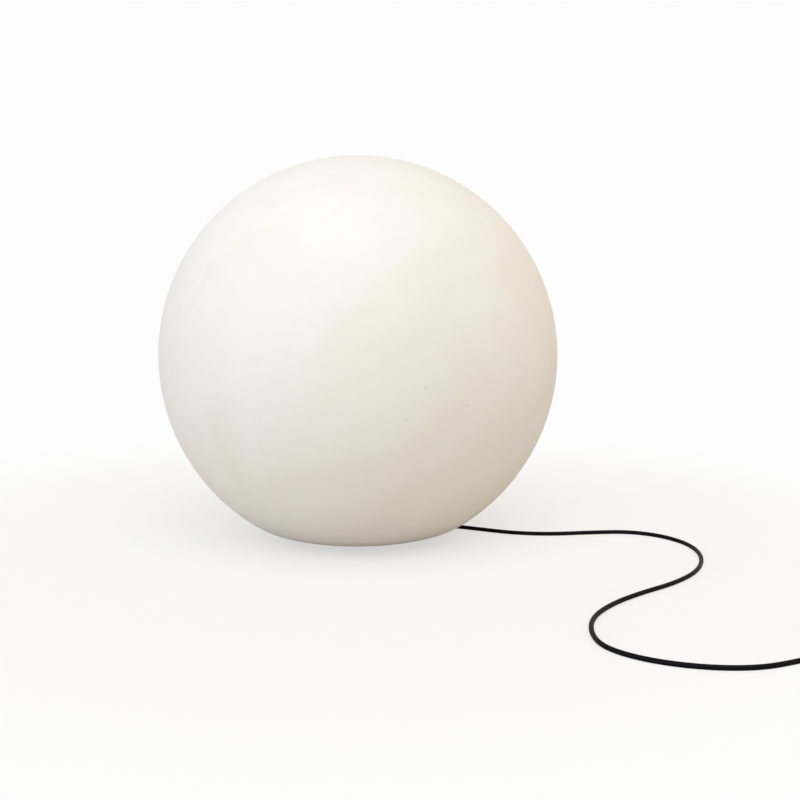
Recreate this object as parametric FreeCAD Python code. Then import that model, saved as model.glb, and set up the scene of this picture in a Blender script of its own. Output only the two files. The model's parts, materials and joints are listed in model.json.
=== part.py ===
import FreeCAD, Part
import math
import os

# Garden globe light that stands on the ground. Millimetres, +Z up. The origin is on the ground, under
# the middle of the globe, and +X is the side where the cord leaves the base.
V = FreeCAD.Vector
UP = V(0, 0, 1)
ALONG = V(1, 0, 0)
ORIGIN = V(0, 0, 0)

# Globe: a rotationally moulded polyethylene shell with a flat that stands on the base.
GLOBE_R = 300.0
WALL = 4.0
FLAT_Z = 8.5
GLOBE_Z = 274.3
BLEND_R = 108.0
MOUTH_R = 78.0
LIP_TOP = 21.0
BOSS_R = 8.0
BOSS_TOP = 26.0
BOSS_CROWN = 4.0
INSERT_R = 4.0
INSERT_BORE = 2.55
INSERT_TOP = 20.0
INSERT_GROOVE = (13.0, 14.5)
LIP_ROUND = 2.0
LIP_FILLET = 3.0

# Base: flange, collar, cable tunnel and wiring box in one polypropylene moulding.
FLANGE_R = 98.0
FLANGE_Z = 3.0
FLANGE_TOP = 7.0
COLLAR_IN = 73.0
COLLAR_OUT = 76.0
COLLAR_TOP = 26.0
SCREW_CIRCLE = 89.0
SCREW_ANGLES = (45, 135, 225, 315)
SCREW_HOLE = 2.75
SCREW_SHANK = 2.45
SCREW_HEAD = 5.0
SCREW_SINK = 2.75
SCREW_REACH = 15.0
SEAL_IN = 79.0
SEAL_OUT = 97.0
FOOT_CIRCLE = 86.0
FOOT_ANGLES = (22.5, 112.5, 202.5, 292.5)
FOOT_R = 9.0
FOOT_TOP = 4.0
ANCHOR_CIRCLE = 62.0
ANCHOR_BORE = 2.75
ANCHOR_BOSS = 6.5
ANCHOR_TOP = 10.0
BOX_BACK = -66.0
BOX_FRONT = 14.0
BOX_HALF = 27.0
BOX_WALL = 3.0
BOX_TOP = 32.0
BOX_CORNER = 6.0
POST_R = 4.5
TUNNEL_BACK = -15.0
TUNNEL_END = 66.0
TUNNEL_HALF = 12.0
TUNNEL_ROOF = 21.0
NOTCH_HALF = 8.0
NOTCH_TOP = 7.6
COVER_SEAL_T = 1.0
COVER_T = 3.0
COVER_SCREW_R = 1.45
COVER_HOLE = 1.7
COVER_SCREW_REACH = 14.0
COVER_SCREWS = ((-60.5, 21.5), (-60.5, -21.5), (8.5, 21.5), (8.5, -21.5))
GROMMET_R = 6.2
GROMMET_NECK = 4.5
GROMMET_BORE = 3.2
PAD_TOP = 13.0
RIB_ANGLES = (28, 66, 114, 246, 294, 332)
RIB_START = 52.0
RIB_TOP = 20.0
RIB_T = 2.0

# Terminal block and wires in the wiring box.
TERMINAL_X = (-54.0, -36.0)
TERMINAL_HALF = 9.0
POLE_Y = 4.5
POLE_Z = 14.0
POLE_R = 4.4
CLAMP_X = (-49.0, -41.0)
CHIMNEY_R = 2.6
CHIMNEY_TOP = 20.5
BARREL_R = 2.85
BARREL_BORE = 1.3
WIRE_R = 1.1
WIRE_Z = 26.0

# Cable gland, metric 12, on the tunnel's axis.
GLAND_Z = 10.0
GLAND_FLATS = 16.0
GLAND_THREAD_R = 5.9
GLAND_BOSS_R = 8.5
GLAND_INNER_X = -21.0
GLAND_BODY_X = -13.5
GLAND_NUT_X = -8.5
GLAND_DOME_X = 1.0
SLEEVE_X = 7.0
SLEEVE_END = 31.0

# Lampholder on its bridge, and the lamp, both on the globe's axis.
BRIDGE_HALF = 12.0
BRIDGE_LEG = 33.0
BRIDGE_FOOT = 52.0
BRIDGE_T = 3.0
BRIDGE_TOP = 53.0
BRIDGE_SCREW_R = 1.6
NIPPLE_R = 4.9
NIPPLE_BORE = 3.5
HOLDER_R = 19.5
HOLDER_WALL = 2.4
HOLDER_NECK = 8.5
HOLDER_JOINT = 74.0
HOLDER_RIM = 99.0
CORE_R = 16.3
CORE_LOW = 69.0
CORE_FLOOR = 76.0
CORE_TOP = 96.0
SLEEVE_BORE = 13.35
SLEEVE_OUT = 14.2
SLEEVE_LOW = 78.0
SLEEVE_TOP = 95.0
LAMP_TIP = 78.0
TIP_T = 2.2
INSULATOR_R = 10.4
CAP_R = 13.0
CAP_T = 0.5
CAP_NECK = 102.0
CAP_TOP = 105.0
LAMP_R = 30.0
LAMP_SEAM = 144.0
LAMP_TOP = 190.0
LAMP_WALL = 1.2
BOARD_DEEP = 2.0
BOARD_R = 27.3
BOARD_T = 1.4
LEDS = 12
LED_CIRCLE = 18.0

# Cord: two-core rubber sheath. The route's points are the corners of its path.
CORD_R = 3.0
LAY = CORD_R
CORD_INNER_END = -22.0
CORD_START = 20.0
CORD_ROUTE = [
    (20, 0, 10), (43, 0, 10), (68, 0, LAY), (106, -4, LAY), (146, -20, LAY), (180, -54, LAY),
    (221, -93, LAY), (273, -117, LAY), (336, -126, LAY), (393, -140, LAY), (428, -180, LAY),
    (439, -238, LAY), (419, -302, LAY), (372, -364, LAY), (310, -405, LAY), (244, -430, LAY),
    (188, -459, LAY), (142, -497, LAY), (114, -545, LAY), (104, -594, LAY), (128, -642, LAY),
    (174, -680, LAY), (228, -699, LAY), (281, -694, LAY), (334, -685, 3.4)]
COIL_X = 402.0
COIL_Y = -656.0
TIE_T = 1.3
COIL_Z = LAY + TIE_T
LAYER_STEP = 6.0
LAYERS = 4
TURN_IN = 25.0
TURN_OUT = 46.0
LAYER_TURNS = 3.5
WHOLE_TURNS = 15
COIL_TOP = COIL_Z - CORD_R + LAYERS * LAYER_STEP
ENTRY_ANGLE = -100.0
EXIT_ANGLE = -18.0
TAIL_ROUTE = [(461, -622, 20.3), (482, -572, 9), (518, -540, 3.2), (557, -548, 3.2), (578, -583, 6),
              (583, -624, 14), (582, -660, 18.5)]
PLUG_R = 18.5
PLUG_X = 582.0
PLUG_Y = -660.0
PLUG_HEADING = -91.6
PLUG_FACE = 66.0
PIN_R = 2.4
PIN_SPACING = 19.0
PIN_LENGTH = 19.0
TIE_ANGLES = (62.0, 206.0)
TIE_SPREAD = 9.0
BUCKLE_HALF = 3.5


def cylinder(radius, low, high, x=0.0, y=0.0):
    return Part.makeCylinder(radius, high - low, V(x, y, low), UP)


def rod(radius, start, end, y=0.0, z=GLAND_Z):
    return Part.makeCylinder(radius, end - start, V(start, y, z), ALONG)


def ring(inner, outer, low, high, x=0.0, y=0.0):
    return cylinder(outer, low, high, x, y).cut(cylinder(inner, low - 1, high + 1, x, y))


def block(x0, x1, y0, y1, z0, z1):
    return Part.makeBox(x1 - x0, y1 - y0, z1 - z0, V(x0, y0, z0))


def rounded_block(x0, x1, half, z0, z1, corner):
    solid = block(x0, x1, -half, half, z0, z1)
    upright = [e for e in solid.Edges if abs(e.tangentAt(e.FirstParameter).z) > 0.9]
    return solid.makeFillet(corner, upright)


def fuse(solids):
    return solids[0].multiFuse(solids[1:]).removeSplitter()


def on_circle(radius, angle):
    return radius * math.cos(math.radians(angle)), radius * math.sin(math.radians(angle))


def turned(shape, angle):
    copy = shape.copy()
    copy.rotate(ORIGIN, UP, angle)
    return copy


def spin(steps):
    """Turn a closed outline of (r, z) corners about the globe's axis. A step of four numbers is an
    arc: a point that it passes, then its end."""
    points = [V(s[-2], 0, s[-1]) for s in steps]
    edges = []
    for i, step in enumerate(steps):
        start = points[i - 1]
        if start.distanceToPoint(points[i]) < 1e-6:
            continue
        if len(step) == 4:
            edges.append(Part.Arc(start, V(step[0], 0, step[1]), points[i]).toShape())
        else:
            edges.append(Part.LineSegment(start, points[i]).toShape())
    return Part.Face(Part.Wire(edges)).revolve(ORIGIN, UP, 360)


def hexagon(flats, start, end):
    """A hexagonal prism along X on the gland's axis, with a flat side down."""
    corner = flats / 2 / math.cos(math.pi / 6)
    points = [V(start, corner * math.cos(math.pi / 3 * k), GLAND_Z + corner * math.sin(math.pi / 3 * k))
              for k in range(7)]
    return Part.Face(Part.makePolygon(points)).extrude(V(end - start, 0, 0))


def hex_nut(flats, bore, low, high):
    corner = flats / 2 / math.cos(math.pi / 6)
    points = [V(corner * math.cos(math.pi / 3 * k), corner * math.sin(math.pi / 3 * k), low)
              for k in range(7)]
    prism = Part.Face(Part.makePolygon(points)).extrude(V(0, 0, high - low))
    cone = Part.makeCone(corner + high - low - 0.6, corner - 0.6, high - low, V(0, 0, low), UP)
    return prism.common(cone).cut(cylinder(bore, low - 1, high + 1))


def screw(x, y, seat, tip, shank, head, head_height):
    """A pan-head screw with a cross recess, its head on a seat and its tip below."""
    top = seat + head_height
    cap = cylinder(head, seat, top, x, y)
    cap = cap.makeFillet(head_height * 0.45, [e for e in cap.Edges if e.BoundBox.ZMin > top - 0.01])
    arm = head * 0.55
    recess = block(x - arm, x + arm, y - 0.4, y + 0.4, top - 0.9, top + 1)
    recess = recess.fuse(block(x - 0.4, x + 0.4, y - arm, y + arm, top - 0.9, top + 1))
    return cap.cut(recess).fuse(cylinder(shank, tip, seat, x, y)).removeSplitter()


def tube(points, radius, name=None):
    """A round tube along straight runs that tangent arcs join. Each arc takes 0.45 of the shorter run."""
    corners = [V(*p) for p in points]
    edges = []
    radii = []
    here = corners[0]
    for before, corner, after in zip(corners, corners[1:], corners[2:]):
        back = before - corner
        ahead = after - corner
        reach = 0.45 * min(back.Length, ahead.Length)
        turn = math.pi - back.getAngle(ahead)
        first = corner + V(back).normalize() * reach
        last = corner + V(ahead).normalize() * reach
        bend = reach / math.tan(turn / 2)
        radii.append(bend)
        bisector = (V(back).normalize() + V(ahead).normalize()).normalize()
        middle = corner + bisector * (math.hypot(bend, reach) - bend)
        edges.append(Part.LineSegment(here, first).toShape())
        edges.append(Part.Arc(first, middle, last).toShape())
        here = last
    edges.append(Part.LineSegment(here, corners[-1]).toShape())
    path = Part.Wire(edges)
    start = (corners[1] - corners[0]).normalize()
    section = Part.Wire(Part.Circle(corners[0], start, radius).toShape())
    solid = path.makePipeShell([section], True, False)
    if name:
        expected = math.pi * radius ** 2 * path.Length
        print(name, "length", round(path.Length, 1), "radii", [round(r) for r in radii],
              "volume ratio", round(solid.Volume / expected, 4))
    return solid


# Globe

def globe_shell():
    rise = GLOBE_Z - FLAT_Z
    reach = math.sqrt((GLOBE_R - BLEND_R) ** 2 - (rise - BLEND_R) ** 2)
    slope = math.atan2(rise - BLEND_R, reach)

    def outline(offset):
        sphere = GLOBE_R - offset
        blend = BLEND_R - offset
        flat = FLAT_Z + offset
        half = (slope + math.pi / 2) / 2
        join = (sphere * math.cos(slope), GLOBE_Z - sphere * math.sin(slope))
        on_blend = (reach + blend * math.cos(half), FLAT_Z + BLEND_R - blend * math.sin(half))
        wide = (sphere * math.cos(0.2), GLOBE_Z + sphere * math.sin(0.2))
        return flat, join, on_blend, wide, (0.0, GLOBE_Z + sphere)

    flat, join, on_blend, wide, top = outline(0)
    flat_in, join_in, on_blend_in, wide_in, top_in = outline(WALL)
    lip = MOUTH_R + WALL
    shell = spin([(MOUTH_R, FLAT_Z), (reach, flat), (*on_blend, *join), (*wide, *top), top_in,
                  (*wide_in, *join_in), (*on_blend_in, reach, flat_in), (lip + LIP_FILLET, flat_in),
                  (lip + 0.3 * LIP_FILLET, flat_in + 0.3 * LIP_FILLET, lip, flat_in + LIP_FILLET),
                  (lip, LIP_TOP - LIP_ROUND), (lip - LIP_ROUND, LIP_TOP, MOUTH_R, LIP_TOP - LIP_ROUND)])
    bosses = []
    for angle in SCREW_ANGLES:
        boss = cylinder(BOSS_R, FLAT_Z + 1, BOSS_TOP, *on_circle(SCREW_CIRCLE, angle))
        crown = [e for e in boss.Edges if e.BoundBox.ZMin > BOSS_TOP - 0.1]
        bosses.append(boss.makeFillet(BOSS_CROWN, crown))
    inside = cylinder(MOUTH_R, FLAT_Z - 1, BOSS_TOP + 1)
    return shell.multiFuse(bosses).cut(inside.fuse(globe_insert_bodies())).removeSplitter()


def globe_insert_bodies():
    solids = []
    for angle in SCREW_ANGLES:
        x, y = on_circle(SCREW_CIRCLE, angle)
        body = cylinder(INSERT_R, FLAT_Z, INSERT_TOP, x, y)
        groove = ring(INSERT_R - 0.6, INSERT_R + 1, *INSERT_GROOVE, x, y)
        solids.append(body.cut(groove))
    return Part.makeCompound(solids)


def globe_inserts():
    bores = [cylinder(INSERT_BORE, FLAT_Z - 1, INSERT_TOP + 1, *on_circle(SCREW_CIRCLE, a))
             for a in SCREW_ANGLES]
    return globe_insert_bodies().cut(Part.makeCompound(bores))


# Base

def box_post(x, y):
    return cylinder(POST_R, FLANGE_TOP, BOX_TOP, x, y)


def base_ribs():
    side = -RIB_T / 2
    low = FLANGE_TOP - 1
    end = COLLAR_IN + 1
    points = [V(RIB_START, side, low), V(end, side, low), V(end, side, RIB_TOP),
              V(RIB_START, side, FLANGE_TOP + 2), V(RIB_START, side, low)]
    rib = Part.Face(Part.makePolygon(points)).extrude(V(0, RIB_T, 0))
    return [turned(rib, angle) for angle in RIB_ANGLES]


def base_plate():
    flange = cylinder(FLANGE_R, FLANGE_Z, FLANGE_TOP)
    flange = flange.makeFillet(1.2, [e for e in flange.Edges if e.Length > 100])
    collar = ring(COLLAR_IN, COLLAR_OUT, FLANGE_TOP - 1, COLLAR_TOP)
    rim = [e for e in collar.Edges if e.BoundBox.ZMin > COLLAR_TOP - 0.1 and e.BoundBox.XMax > COLLAR_IN + 1]
    collar = collar.makeChamfer(1.5, rim)
    box = rounded_block(BOX_BACK, BOX_FRONT, BOX_HALF, FLANGE_TOP - 1, BOX_TOP, BOX_CORNER)
    room = rounded_block(BOX_BACK + BOX_WALL, BOX_FRONT - BOX_WALL, BOX_HALF - BOX_WALL,
                         FLANGE_TOP, BOX_TOP + 1, BOX_CORNER - BOX_WALL)
    roof = block(TUNNEL_BACK - BOX_WALL, COLLAR_IN + 1, -TUNNEL_HALF - BOX_WALL, TUNNEL_HALF + BOX_WALL,
                 FLANGE_TOP - 1, TUNNEL_ROOF + BOX_WALL)
    posts = [box_post(x, y) for x, y in COVER_SCREWS]
    above_floor = block(BOX_BACK, BOX_FRONT, -BOX_HALF, BOX_HALF, FLANGE_TOP - 1, BOX_TOP)
    gland_boss = rod(GLAND_BOSS_R, GLAND_INNER_X, TUNNEL_BACK - 1).common(above_floor)
    pads = [block(-BRIDGE_HALF, BRIDGE_HALF, *sorted((side * BRIDGE_LEG, side * (BRIDGE_FOOT + 1))),
                  FLANGE_TOP - 1, PAD_TOP) for side in (-1, 1)]
    anchors = [cylinder(ANCHOR_BOSS, FLANGE_TOP - 1, ANCHOR_TOP, *on_circle(ANCHOR_CIRCLE, a))
               for a in SCREW_ANGLES]
    outside = fuse([flange, collar, box.cut(room), roof, gland_boss] + posts + pads + anchors + base_ribs())
    tunnel = block(TUNNEL_BACK, TUNNEL_END, -TUNNEL_HALF, TUNNEL_HALF, 0, TUNNEL_ROOF)
    edges = [e for e in tunnel.Edges if e.BoundBox.ZMin > TUNNEL_ROOF - 0.1 and e.BoundBox.YLength < 0.1]
    tunnel = tunnel.makeFillet(4.0, edges)
    notch = block(TUNNEL_END - 1, FLANGE_R + 1, -NOTCH_HALF, NOTCH_HALF, 0, NOTCH_TOP)
    cuts = [tunnel, notch, rod(GLAND_THREAD_R + 0.05, GLAND_INNER_X - 1, TUNNEL_BACK + 1)]
    for angle in SCREW_ANGLES:
        x, y = on_circle(SCREW_CIRCLE, angle)
        cuts.append(cylinder(SCREW_HOLE, 0, FLANGE_TOP + 1, x, y))
        seat = V(x, y, FLANGE_Z - 0.05)
        cuts.append(Part.makeCone(SCREW_HEAD + 0.2, SCREW_SHANK + 0.25, SCREW_SINK + 0.15, seat, UP))
        cuts.append(cylinder(ANCHOR_BORE, 0, ANCHOR_TOP + 1, *on_circle(ANCHOR_CIRCLE, angle)))
    for angle in FOOT_ANGLES:
        cuts.append(cylinder(FOOT_R, FLANGE_Z - 1, FOOT_TOP, *on_circle(FOOT_CIRCLE, angle)))
    for x, y in COVER_SCREWS:
        cuts.append(cylinder(COVER_SCREW_R + 0.05, BOX_TOP - 12, BOX_TOP + 1, x, y))
    for x, y in bridge_screw_places():
        cuts.append(cylinder(BRIDGE_SCREW_R, FLANGE_TOP - 2, PAD_TOP + 1, x, y))
    return outside.cut(Part.makeCompound(cuts)).removeSplitter()


def globe_seal():
    seal = ring(SEAL_IN, SEAL_OUT, FLANGE_TOP, FLAT_Z)
    holes = [cylinder(SCREW_HOLE, FLANGE_TOP - 1, FLAT_Z + 1, *on_circle(SCREW_CIRCLE, a))
             for a in SCREW_ANGLES]
    return seal.cut(Part.makeCompound(holes))


def base_feet():
    feet = []
    for angle in FOOT_ANGLES:
        foot = cylinder(FOOT_R, 0, FOOT_TOP, *on_circle(FOOT_CIRCLE, angle))
        bottom = [e for e in foot.Edges if e.BoundBox.ZMax < 0.1]
        feet.append(foot.makeFillet(1.0, bottom))
    return Part.makeCompound(feet)


def shell_screws():
    """Countersunk M5 x 16 screws that go up through the flange and the seal into the inserts."""
    screws = []
    low = FLANGE_Z + 0.1
    end = FLANGE_Z + SCREW_REACH
    for angle in SCREW_ANGLES:
        x, y = on_circle(SCREW_CIRCLE, angle)
        head = Part.makeCone(SCREW_HEAD, SCREW_SHANK, SCREW_SINK, V(x, y, low), UP)
        shank = cylinder(SCREW_SHANK, low, end, x, y)
        tip = Part.makeCone(SCREW_SHANK, SCREW_SHANK - 0.65, 1.0, V(x, y, end), UP)
        socket = cylinder(1.5, FLANGE_Z - 1, FLANGE_Z + 1.6, x, y)
        screws.append(head.fuse(shank).fuse(tip).cut(socket).removeSplitter())
    return Part.makeCompound(screws)


def cover_seal():
    top = BOX_TOP + COVER_SEAL_T

    def slab(inset, z0, z1):
        corner = BOX_CORNER - inset
        return rounded_block(BOX_BACK + inset, BOX_FRONT - inset, BOX_HALF - inset, z0, z1, corner)

    outer = slab(0.4, BOX_TOP, top)
    inner = slab(BOX_WALL - 0.2, BOX_TOP - 1, top + 1)
    pads = [cylinder(POST_R, BOX_TOP, top, x, y) for x, y in COVER_SCREWS]
    holes = [cylinder(COVER_HOLE, BOX_TOP - 1, top + 1, x, y) for x, y in COVER_SCREWS]
    return fuse([outer.cut(inner)] + pads).cut(Part.makeCompound(holes))


def wiring_cover():
    low = BOX_TOP + COVER_SEAL_T
    top = low + COVER_T
    plate = rounded_block(BOX_BACK, BOX_FRONT, BOX_HALF, low, top, BOX_CORNER)
    plate = plate.makeFillet(1.0, [e for e in plate.Edges if e.BoundBox.ZMin > top - 0.1])
    ribs = [block(BOX_BACK + 14, BOX_FRONT - 26, y - 1, y + 1, top - 0.5, top + 1.5) for y in (-14, 0, 14)]
    holes = [cylinder(COVER_HOLE, low - 1, top + 1, x, y) for x, y in COVER_SCREWS]
    holes.append(cylinder(GROMMET_NECK, low - 1, top + 1))
    return fuse([plate] + ribs).cut(Part.makeCompound(holes))


def cover_screws():
    seat = BOX_TOP + COVER_SEAL_T + COVER_T
    return Part.makeCompound([screw(x, y, seat, seat - COVER_SCREW_REACH, COVER_SCREW_R, 2.9, 2.0)
                              for x, y in COVER_SCREWS])


def cover_grommet():
    low = BOX_TOP + COVER_SEAL_T
    top = low + COVER_T
    return spin([(GROMMET_BORE, low - 1.5), (GROMMET_R, low - 1.5), (GROMMET_R, low), (GROMMET_NECK, low),
                 (GROMMET_NECK, top), (GROMMET_R, top), (GROMMET_R - 0.2, top + 2), (GROMMET_BORE, top + 3)])


# Wiring

def terminal_block():
    x0, x1 = TERMINAL_X
    foot = block(x0 + 3, x1 - 3, -TERMINAL_HALF, TERMINAL_HALF, FLANGE_TOP, POLE_Z)
    poles = [rod(POLE_R, x0, x1, y, POLE_Z) for y in (-POLE_Y, POLE_Y)]
    places = [(x, y) for x in CLAMP_X for y in (-POLE_Y, POLE_Y)]
    chimneys = [cylinder(CHIMNEY_R, POLE_Z, CHIMNEY_TOP, x, y) for x, y in places]
    cuts = [rod(BARREL_R + 0.05, x0 - 1, x1 + 1, y, POLE_Z) for y in (-POLE_Y, POLE_Y)]
    cuts += [cylinder(CHIMNEY_R - 0.8, POLE_Z, CHIMNEY_TOP + 1, x, y) for x, y in places]
    return fuse([foot] + poles + chimneys).cut(Part.makeCompound(cuts)).removeSplitter()


def terminal_barrels():
    x0, x1 = TERMINAL_X
    barrels = []
    for y in (-POLE_Y, POLE_Y):
        barrel = rod(BARREL_R, x0 + 1.5, x1 - 1.5, y, POLE_Z).cut(rod(BARREL_BORE, x0, x1, y, POLE_Z))
        threads = [cylinder(BARREL_BORE, POLE_Z, POLE_Z + 4, x, y) for x in CLAMP_X]
        barrels.append(barrel.cut(Part.makeCompound(threads)))
    return Part.makeCompound(barrels)


def terminal_screws():
    """Slotted clamping screws that press on the wires, one at each end of both poles."""
    screws = []
    low = POLE_Z + WIRE_R + 0.1
    for x in CLAMP_X:
        for y in (-POLE_Y, POLE_Y):
            body = cylinder(BARREL_BORE, low, low + 2, x, y)
            head = cylinder(BARREL_BORE + 0.3, low + 2, low + 4.2, x, y)
            slot = block(x - 2, x + 2, y - 0.25, y + 0.25, low + 3.4, low + 5)
            screws.append(body.fuse(head).cut(slot).removeSplitter())
    return Part.makeCompound(screws)


def mains_cores():
    """The two cores, from the end of the cord's sheath to the near end of each pole."""
    cores = []
    for side in (-1, 1):
        route = [(CORD_INNER_END, 1.3 * side, GLAND_Z), (CORD_INNER_END - 5, 1.6 * side, GLAND_Z + 0.3),
                 (-32, POLE_Y * side, POLE_Z - 0.6), (CLAMP_X[1], POLE_Y * side, POLE_Z)]
        cores.append(tube(route, WIRE_R))
    return Part.makeCompound(cores)


def lamp_leads():
    """Two leads that loop back over the block, rise through the cover's grommet and end in the core."""
    leads = []
    for side in (-1, 1):
        route = [(CLAMP_X[0] + 1, POLE_Y * side, POLE_Z), (-56.5, POLE_Y * side, POLE_Z + 0.2),
                 (-59.5, 4.4 * side, WIRE_Z - 5), (-53, 4.1 * side, WIRE_Z + 1.6),
                 (-34, 3.0 * side, WIRE_Z + 1), (-13, 1.6 * side, WIRE_Z - 0.2),
                 (0, 1.5 * side, WIRE_Z - 0.4), (0.1, 1.5 * side, 41), (0, 1.6 * side, 66)]
        leads.append(tube(route, WIRE_R))
    return Part.makeCompound(leads)


# Cable gland

def gland_body():
    body = hexagon(GLAND_FLATS, GLAND_BODY_X, GLAND_NUT_X)
    shank = rod(GLAND_THREAD_R, GLAND_INNER_X, GLAND_BODY_X)
    neck = rod(6.2, GLAND_NUT_X, -1.0)
    bore = rod(3.3, GLAND_INNER_X - 1, 0).fuse(rod(5.0, -9.0, 0))
    return fuse([body, shank, neck]).cut(bore)


def gland_washer():
    return rod(8.4, TUNNEL_BACK, GLAND_BODY_X).cut(rod(GLAND_THREAD_R, TUNNEL_BACK - 1, 0))


def gland_insert():
    return rod(4.9, -9.0, 0.2).cut(rod(CORD_R, -10, 1))


def gland_nut():
    """The dome nut with its slotted, tapering bend sleeve, in one moulding."""
    body = hexagon(GLAND_FLATS, GLAND_NUT_X, GLAND_DOME_X)
    cone = Part.makeCone(6.0, GLAND_FLATS / 2 / math.cos(math.pi / 6) + 0.2, 4.0,
                         V(GLAND_NUT_X - 2.6, 0, GLAND_Z), ALONG)
    body = body.common(cone.fuse(rod(9.4, GLAND_NUT_X + 1.4, GLAND_DOME_X)))
    dome = Part.makeCone(8.0, 5.4, SLEEVE_X - GLAND_DOME_X, V(GLAND_DOME_X, 0, GLAND_Z), ALONG)
    taper = Part.makeCone(5.4, 4.3, SLEEVE_END - SLEEVE_X, V(SLEEVE_X, 0, GLAND_Z), ALONG)
    end = [e for e in taper.Edges if e.BoundBox.XMin > SLEEVE_END - 0.1]
    solid = fuse([body, dome, taper.makeFillet(0.6, end)])
    bore = fuse([rod(6.25, GLAND_NUT_X - 1, -0.9), rod(5.0, -1.0, 0.3), rod(3.15, 0, SLEEVE_END + 1)])
    slots = []
    for k in range(6):
        x = SLEEVE_X + 2.5 + 3.4 * k
        gap = block(x, x + 1.3, -6, 6, GLAND_Z - 6, GLAND_Z - 1.1)
        if k % 2:
            gap.rotate(V(0, 0, GLAND_Z), ALONG, 180)
        slots.append(gap)
    return solid.cut(bore).cut(Part.makeCompound(slots))


# Lampholder

def bridge_screw_places():
    return [(x, y) for x in (-6, 6) for y in (-46, 46)]


def holder_bridge():
    """A moulded bridge over the cable tunnel, with gussets at its feet."""
    half = BRIDGE_HALF
    low = PAD_TOP
    top = BRIDGE_TOP
    t = BRIDGE_T
    deck = block(-half, half, -BRIDGE_LEG - t, BRIDGE_LEG + t, top - t, top)
    legs = []
    for side in (-1, 1):
        y0, y1 = sorted((side * BRIDGE_LEG, side * (BRIDGE_LEG + t)))
        legs.append(block(-half, half, y0, y1, low, top))
        y0, y1 = sorted((side * BRIDGE_LEG, side * BRIDGE_FOOT))
        legs.append(block(-half, half, y0, y1, low, low + t))
        for x in (-half, half - 2):
            outer = side * (BRIDGE_LEG + t - 0.5)
            points = [V(x, outer, low + t), V(x, side * (BRIDGE_FOOT - 2), low + t),
                      V(x, outer, low + t + 22), V(x, outer, low + t)]
            legs.append(Part.Face(Part.makePolygon(points)).extrude(V(2, 0, 0)))
            inner = side * (BRIDGE_LEG + 0.5)
            points = [V(x, inner, top - t), V(x, inner - side * 16, top - t), V(x, inner, top - t - 16),
                      V(x, inner, top - t)]
            legs.append(Part.Face(Part.makePolygon(points)).extrude(V(2, 0, 0)))
    solid = fuse([deck] + legs)
    shoulders = [e for e in solid.Edges if e.BoundBox.XLength > 2 * half - 0.1
                 and abs(abs(e.BoundBox.YMax) - BRIDGE_LEG - t) < 0.1 and e.BoundBox.ZMin > top - 0.1]
    solid = solid.makeFillet(4.0, shoulders)
    holes = [cylinder(1.9, low - 1, low + t + 1, x, y) for x, y in bridge_screw_places()]
    holes.append(cylinder(NIPPLE_R + 0.1, top - t - 1, top + 1))
    return solid.cut(Part.makeCompound(holes))


def bridge_screws():
    seat = PAD_TOP + BRIDGE_T
    return Part.makeCompound([screw(x, y, seat, seat - 10, BRIDGE_SCREW_R, 3.4, 2.2)
                              for x, y in bridge_screw_places()])


def holder_nipple():
    return spin([(NIPPLE_BORE, 43.5), (NIPPLE_BORE + 0.5, 43), (NIPPLE_R - 0.5, 43), (NIPPLE_R, 43.5),
                 (NIPPLE_R, 61), (NIPPLE_BORE, 61)])


def nipple_nut():
    return hex_nut(14.0, NIPPLE_R, BRIDGE_TOP - BRIDGE_T - 3, BRIDGE_TOP - BRIDGE_T)


def holder_dome():
    bore = NIPPLE_R + 0.05
    inside = HOLDER_R - HOLDER_WALL
    return spin([(bore, BRIDGE_TOP), (HOLDER_NECK, BRIDGE_TOP), (HOLDER_NECK, 58),
                 (15.5, 60.5, HOLDER_R - 0.5, 67), (HOLDER_R, 70), (HOLDER_R, HOLDER_JOINT),
                 (inside, HOLDER_JOINT), (inside, 68), (13.5, 62.7, HOLDER_NECK, 61), (bore, 61)])


def holder_skirt():
    """The screwed-on skirt, with finger grooves, that holds the core down."""
    inside = HOLDER_R - HOLDER_WALL
    bore = CORE_R + 0.3
    skirt = spin([(inside, HOLDER_JOINT), (HOLDER_R, HOLDER_JOINT), (HOLDER_R, 78), (18.6, 79), (18.4, 96),
                  (17.6, 98.6, bore, HOLDER_RIM), (15.4, HOLDER_RIM), (14.9, 98.5), (14.9, CORE_TOP + 0.4),
                  (bore, CORE_TOP + 0.4), (bore, 78), (inside, 77)])
    grooves = [turned(cylinder(0.9, 80, 95, 19.0, 0), 30 * k) for k in range(12)]
    return skirt.cut(Part.makeCompound(grooves))


def holder_core():
    """A ceramic cup with a foot flange, two wire holes and a channel between them."""
    foot = CORE_R + 0.6
    bore = SLEEVE_OUT + 0.1
    core = spin([(0, CORE_LOW), (foot, CORE_LOW), (foot, 76.9), (CORE_R, 77.5), (CORE_R, CORE_TOP),
                 (bore, CORE_TOP), (bore, CORE_FLOOR), (0, CORE_FLOOR)])
    wires = [cylinder(1.4, CORE_LOW - 1, 73, 0, y) for y in (-9, 9)]
    channel = block(-3.2, 3.2, -9, 9, CORE_LOW - 1, CORE_LOW + 1.5)
    return core.cut(Part.makeCompound(wires + [channel]))


def holder_sleeve():
    return ring(SLEEVE_BORE, SLEEVE_OUT, SLEEVE_LOW, SLEEVE_TOP)


def centre_contact():
    """A springy tongue, riveted to the core, that the lamp's tip presses on."""
    low = CORE_FLOOR
    side = -2.2
    outline = [(-4.2, 0), (-4.2, 0.5), (-1.5, 1.6), (2.4, 1.6), (2.4, 1.1), (-1.3, 1.1), (-3.9, 0), (-4.2, 0)]
    ramp = Part.Face(Part.makePolygon([V(x, side, low + z) for x, z in outline])).extrude(V(0, -2 * side, 0))
    tongue = block(-11, -4, side, -side, low, low + 0.5)
    rivet = cylinder(1.2, low, low + 1.1, -8.5, 0)
    return fuse([tongue, ramp, rivet])


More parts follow.
